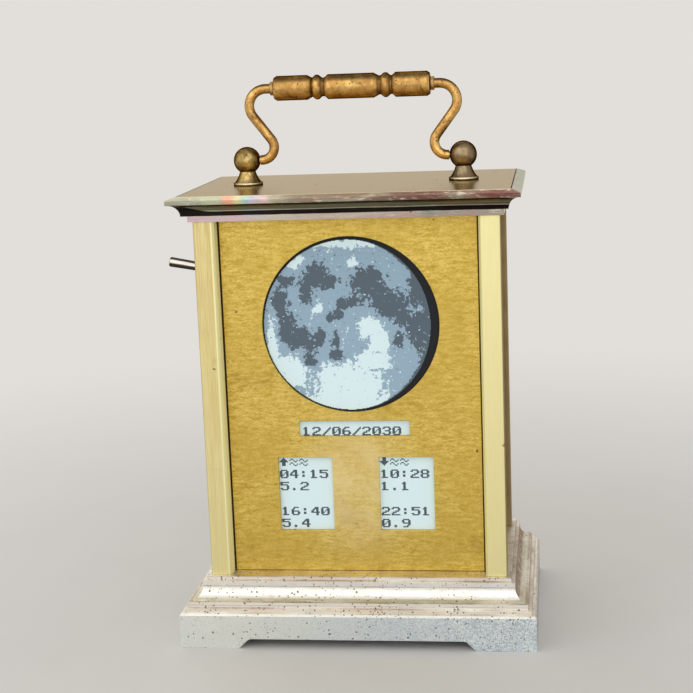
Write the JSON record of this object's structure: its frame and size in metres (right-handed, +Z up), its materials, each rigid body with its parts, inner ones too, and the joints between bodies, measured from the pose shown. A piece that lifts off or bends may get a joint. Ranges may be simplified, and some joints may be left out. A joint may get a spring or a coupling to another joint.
{
  "type": "moon phase desk clock",
  "caption": "Carriage-clock case in brass and silver plate with an electronic paper display for moon, date and tides, a folding handle, a rear door and a side toggle switch.",
  "frame": {"origin": "middle of the plinth's foot plane, on the surface it stands on, under the middle of the case", "axes": "+X to the right as seen from the front, +Y from the front mask to the rear door, +Z up towards the handle"},
  "size_m": [0.1007, 0.0666, 0.1503],
  "materials": {
    "plated_silver": "worn silver plate with pits and tarnish",
    "pillar_brass": "satin, brushed lengthwise",
    "mask_brass": "brushed across, mottled",
    "plate_brass": "satin",
    "handle_brass": "aged, dark in the grooves",
    "screw_steel": "bright",
    "nickel": "bright nickel",
    "paper_display": "matt four-grey picture",
    "circuit_board": "solder resist",
    "controller_board": "solder resist",
    "black_plastic": "moulded",
    "switch_plastic": "moulded",
    "tinned_metal": "tinned",
    "ribbon_film": "amber film",
    "cell_jacket": "printed jacket without words",
    "foam_pad": "foam",
    "red_wire": "insulated",
    "yellow_wire": "insulated",
    "black_wire": "insulated",
    "button_cap": "moulded"
  },
  "bodies": {
    "case": {"plinth": "plated_silver", "cap": "plated_silver", "top_plate": "plate_brass", "pillar_front_left": "pillar_brass", "pillar_front_right": "pillar_brass", "pillar_rear_left": "pillar_brass", "pillar_rear_right": "pillar_brass", "front_mask": "mask_brass", "side_panel_left": "plate_brass", "side_panel_right": "plate_brass", "pillar_screws_lower": "screw_steel", "pillar_screws_upper": "screw_steel", "handle_post_left": "handle_brass", "handle_post_right": "handle_brass", "handle_post_nuts": "handle_brass", "display_panel": "paper_display", "display_board": "circuit_board", "mask_studs": "mask_brass", "stud_nuts": "screw_steel", "display_ribbon": "ribbon_film", "ribbon_connector": "black_plastic", "header_sockets": "black_plastic", "pin_headers": "black_plastic", "controller_board": "controller_board", "controller_chip": "black_plastic", "radio_can": "tinned_metal", "usb_socket": "tinned_metal", "boot_button_housing": "tinned_metal", "battery_holder": "black_plastic", "holder_pad": "foam_pad", "cell_1": "cell_jacket", "cell_2": "cell_jacket", "cell_3": "cell_jacket", "cell_contacts": "tinned_metal", "switch_body": "switch_plastic", "switch_bush": "nickel", "switch_washer": "nickel", "switch_nut": "nickel", "switch_terminals": "tinned_metal", "wire_battery_plus": "red_wire", "wire_switch_out": "yellow_wire", "wire_battery_minus": "black_wire"},
    "rear_door": {"rear_door": "plate_brass", "door_knob": "handle_brass", "door_hinge_pins": "screw_steel"},
    "handle": {"handle_arm_left": "handle_brass", "handle_arm_right": "handle_brass", "handle_grip": "handle_brass"},
    "switch_lever": {"switch_lever": "nickel"},
    "boot_button": {"boot_button": "button_cap"}
  },
  "joints": [
    {"name": "door_swing", "type": "hinge", "parent": "case", "child": "rear_door", "pos_m": [0.03275, 0.024, 0.0661], "axis": [0, 0, -1], "range_deg": [0, 95]},
    {"name": "handle_swing", "type": "hinge", "parent": "case", "child": "handle", "pos_m": [0, 0, 0.12787], "axis": [1, 0, 0], "range_deg": [-90, 90]},
    {"name": "switch_throw", "type": "hinge", "parent": "case", "child": "switch_lever", "pos_m": [-0.04205, 0, 0.0984], "axis": [0, -1, 0], "range_deg": [0, 21.2]},
    {"name": "boot_press", "type": "slide", "parent": "case", "child": "boot_button", "axis": [0, -1, 0], "range_m": [0, 0.00025], "stiffness_N_per_m": 2000}
  ]
}
